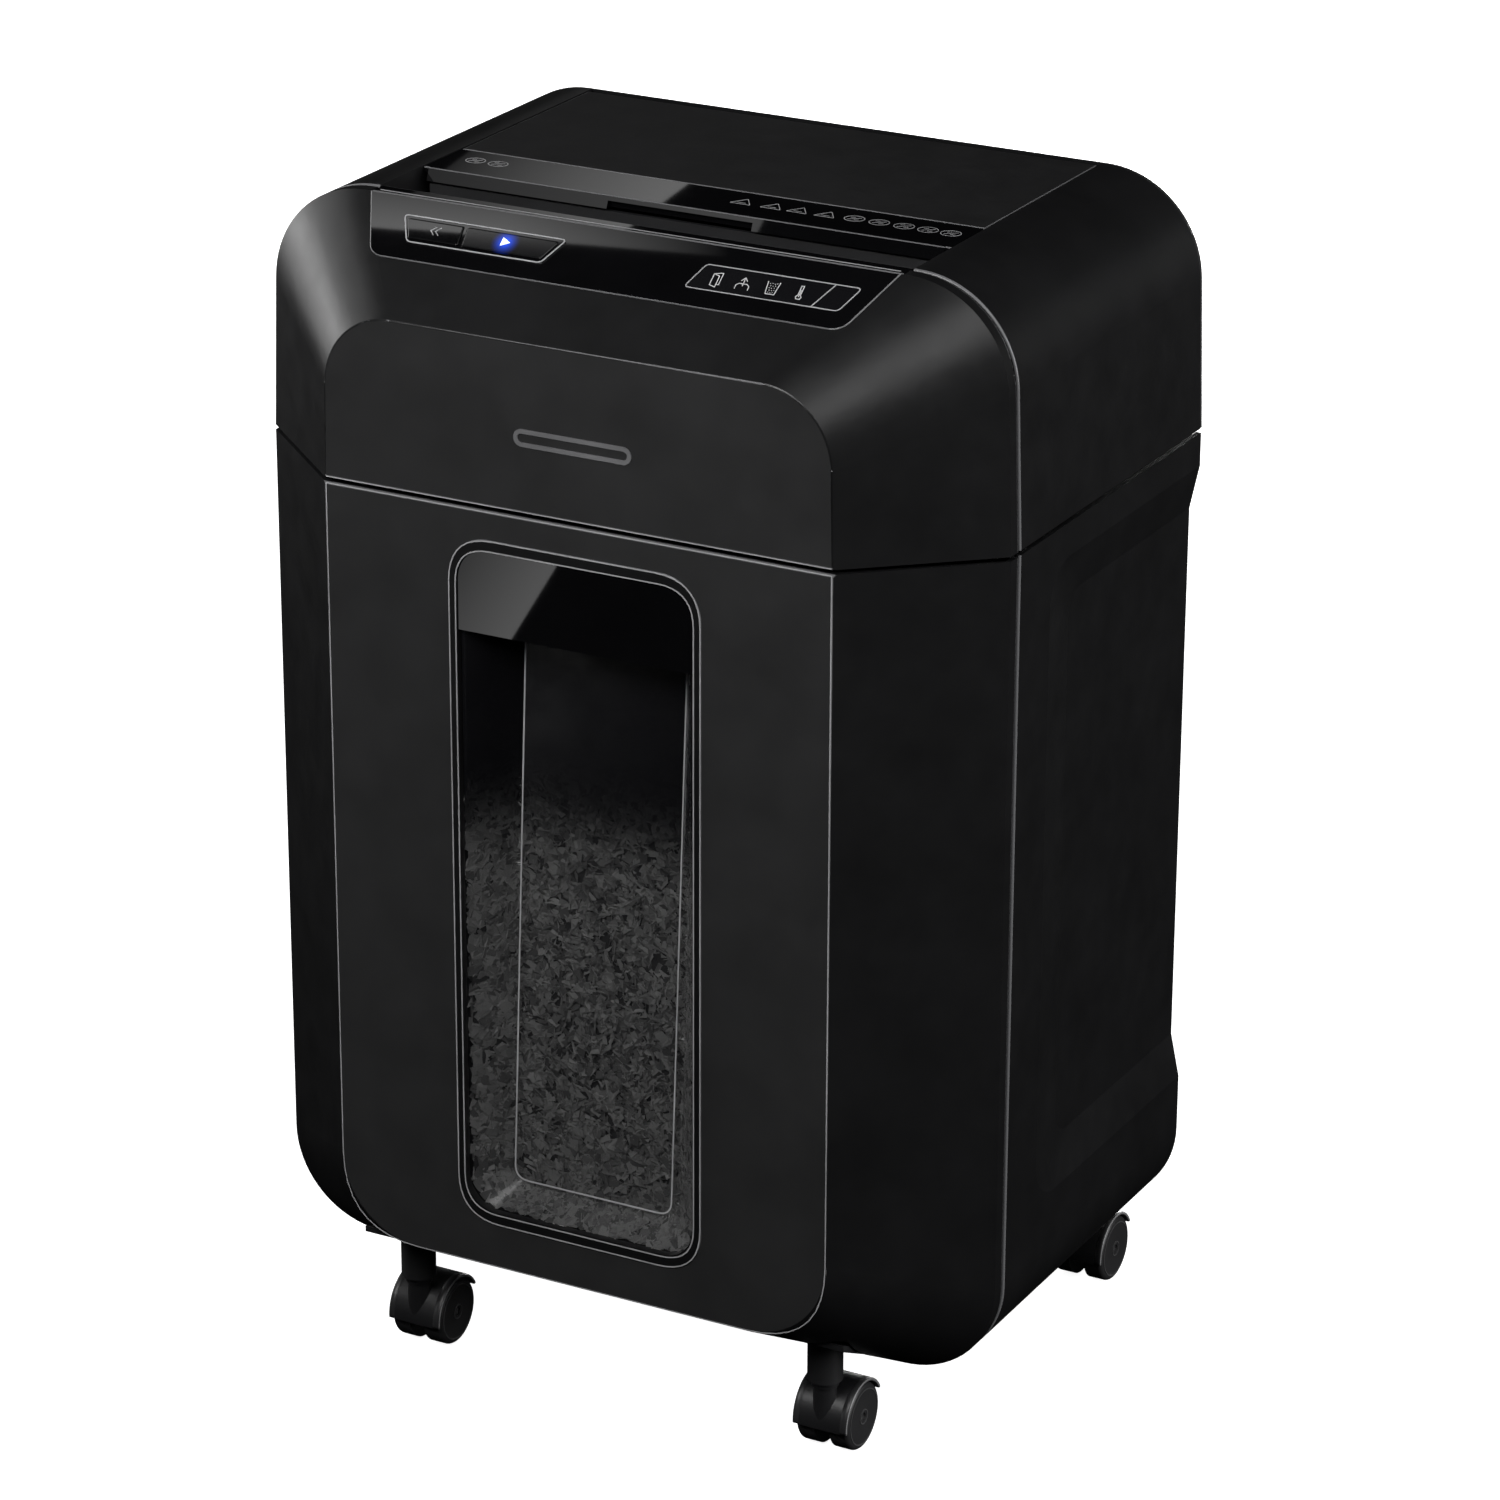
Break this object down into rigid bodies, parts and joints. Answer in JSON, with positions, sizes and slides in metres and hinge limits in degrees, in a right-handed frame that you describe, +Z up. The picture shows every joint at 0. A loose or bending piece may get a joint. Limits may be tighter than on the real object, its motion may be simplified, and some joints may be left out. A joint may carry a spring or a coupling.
{
  "type": "paper shredder",
  "caption": "Free-standing office paper shredder on casters: cutting head with hand-feed throat and lidded auto-feed tray over a pull-out bin with a window.",
  "frame": {"origin": "on the floor, under the middle of the bounding box", "axes": "+Z up; -Y towards the front, with the window and the controls; +X to the viewer's right when facing the front"},
  "size_m": [0.368, 0.274, 0.5574],
  "materials": {
    "shell_plastic": "satin black moulded plastic",
    "panel_plastic": "fine-textured black plastic",
    "gloss_plastic": "polished black plastic",
    "inner_plastic": "plain black moulded plastic",
    "smoked_plastic": "smoked clear plastic",
    "trim_grey": "satin grey trim",
    "circuit_board": "coated circuit board",
    "led": "clear moulded lamp",
    "steel": "plain machined steel",
    "cutter_steel": "hardened ground steel",
    "bronze": "sintered bronze",
    "gear_plastic": "natural acetal",
    "motor_paint": "grey paint",
    "roller_rubber": "soft ribbed rubber",
    "caster_plastic": "black moulded nylon",
    "wheel_plastic": "dark grey hard plastic tread"
  },
  "bodies": {
    "root": {"head_front_cover": "shell_plastic", "head_right_cover": "shell_plastic", "head_left_cover": "shell_plastic", "head_back_cover": "shell_plastic", "cabinet_right_side": "shell_plastic", "cabinet_left_side": "shell_plastic", "cabinet_back": "shell_plastic", "base_pan": "inner_plastic", "caster_sockets": "inner_plastic", "bin_rails": "inner_plastic", "head_base_frame": "inner_plastic", "control_panel": "gloss_plastic", "button_bezel": "gloss_plastic", "indicator_lens": "smoked_plastic", "control_board": "circuit_board", "indicator_leds": "led", "head_badge": "trim_grey", "throat_front_guide": "gloss_plastic", "paper_tray": "inner_plastic", "cutter_plate_right": "steel", "cutter_plate_left": "steel", "shaft_bushes": "bronze", "tie_rods": "steel", "stripper_combs": "inner_plastic", "motor_body": "motor_paint", "motor_screws": "steel", "power_inlet": "gloss_plastic"},
    "lid": {"lid_panel": "panel_plastic", "lid_trim": "gloss_plastic", "lid_hinge_pins": "steel"},
    "bin": {"bin_front": "shell_plastic", "bin_tub": "inner_plastic", "window_bezel": "trim_grey", "window_insert": "smoked_plastic", "pull_handle": "gloss_plastic"},
    "reverse_button": {"reverse_button": "gloss_plastic"},
    "auto_button": {"auto_button": "gloss_plastic"},
    "power_rocker": {"power_rocker": "gloss_plastic"},
    "front_cutter": {"front_cutter": "cutter_steel", "front_cutter_gear": "gear_plastic"},
    "rear_cutter": {"rear_cutter": "cutter_steel", "rear_cutter_gear": "gear_plastic", "feed_drive_gear": "gear_plastic"},
    "reduction": {"reduction_gear": "gear_plastic"},
    "motor_pinion": {"motor_pinion": "steel"},
    "feed": {"feed_gear": "gear_plastic", "feed_shaft": "steel", "feed_rollers": "roller_rubber"},
    "caster_front_left": {"caster_front_left_hood": "caster_plastic"},
    "wheels_front_left": {"caster_front_left_wheels": "wheel_plastic", "caster_front_left_axle": "steel"},
    "caster_front_right": {"caster_front_right_hood": "caster_plastic"},
    "wheels_front_right": {"caster_front_right_wheels": "wheel_plastic", "caster_front_right_axle": "steel"},
    "caster_rear_left": {"caster_rear_left_hood": "caster_plastic"},
    "wheels_rear_left": {"caster_rear_left_wheels": "wheel_plastic", "caster_rear_left_axle": "steel"},
    "caster_rear_right": {"caster_rear_right_hood": "caster_plastic"},
    "wheels_rear_right": {"caster_rear_right_wheels": "wheel_plastic", "caster_rear_right_axle": "steel"}
  },
  "joints": [
    {"name": "lid_hinge", "type": "hinge", "parent": "root", "child": "lid", "pos_m": [0, 0.1055, 0.5513], "axis": [-1, 0, 0], "range_deg": [0, 75]},
    {"name": "bin_slide", "type": "slide", "parent": "root", "child": "bin", "axis": [0, -1, 0], "range_m": [0, 0.22]},
    {"name": "reverse_press", "type": "slide", "parent": "root", "child": "reverse_button", "axis": [0, 0.616, -0.7878], "range_m": [0, 0.0015], "stiffness_N_per_m": 800},
    {"name": "auto_press", "type": "slide", "parent": "root", "child": "auto_button", "axis": [0, 0.616, -0.7878], "range_m": [0, 0.0015], "stiffness_N_per_m": 800},
    {"name": "power_rocker_tilt", "type": "hinge", "parent": "root", "child": "power_rocker", "pos_m": [-0.066, 0.132, 0.472], "axis": [0, 0, -1], "range_deg": [0, 16]},
    {"name": "rear_cutter_spin", "type": "hinge", "parent": "root", "child": "rear_cutter", "pos_m": [0, -0.0375, 0.474], "axis": [1, 0, 0], "continuous": true},
    {"name": "front_cutter_spin", "type": "hinge", "parent": "root", "child": "front_cutter", "pos_m": [0, -0.0755, 0.474], "axis": [1, 0, 0], "continuous": true},
    {"name": "reduction_spin", "type": "hinge", "parent": "root", "child": "reduction", "pos_m": [0.14, -0.00852, 0.48501], "axis": [1, 0, 0], "continuous": true},
    {"name": "motor_spin", "type": "hinge", "parent": "root", "child": "motor_pinion", "pos_m": [0.14, 0.03648, 0.48501], "axis": [1, 0, 0], "continuous": true},
    {"name": "feed_spin", "type": "hinge", "parent": "root", "child": "feed", "pos_m": [0, -0.0065, 0.50006], "axis": [1, 0, 0], "continuous": true},
    {"name": "caster_front_left_swivel", "type": "hinge", "parent": "root", "child": "caster_front_left", "pos_m": [-0.1075, -0.1011, 0.05], "axis": [0, 0, 1], "continuous": true},
    {"name": "caster_front_left_roll", "type": "hinge", "parent": "caster_front_left", "child": "wheels_front_left", "pos_m": [-0.1075, -0.0885, 0.016], "axis": [1, 0, 0], "continuous": true},
    {"name": "caster_front_right_swivel", "type": "hinge", "parent": "root", "child": "caster_front_right", "pos_m": [0.1075, -0.1011, 0.05], "axis": [0, 0, 1], "continuous": true},
    {"name": "caster_front_right_roll", "type": "hinge", "parent": "caster_front_right", "child": "wheels_front_right", "pos_m": [0.1075, -0.0885, 0.016], "axis": [1, 0, 0], "continuous": true},
    {"name": "caster_rear_left_swivel", "type": "hinge", "parent": "root", "child": "caster_rear_left", "pos_m": [-0.137, 0.1075, 0.05], "axis": [0, 0, 1], "continuous": true},
    {"name": "caster_rear_left_roll", "type": "hinge", "parent": "caster_rear_left", "child": "wheels_rear_left", "pos_m": [-0.137, 0.1201, 0.016], "axis": [1, 0, 0], "continuous": true},
    {"name": "caster_rear_right_swivel", "type": "hinge", "parent": "root", "child": "caster_rear_right", "pos_m": [0.137, 0.1075, 0.05], "axis": [0, 0, 1], "continuous": true},
    {"name": "caster_rear_right_roll", "type": "hinge", "parent": "caster_rear_right", "child": "wheels_rear_right", "pos_m": [0.137, 0.1201, 0.016], "axis": [1, 0, 0], "continuous": true}
  ],
  "couplings": [
    {"joint": "front_cutter_spin", "follows": "rear_cutter_spin", "ratio": -1},
    {"joint": "reduction_spin", "follows": "rear_cutter_spin", "ratio": -1.5833},
    {"joint": "motor_spin", "follows": "rear_cutter_spin", "ratio": 6.3333},
    {"joint": "feed_spin", "follows": "rear_cutter_spin", "ratio": -1}
  ]
}
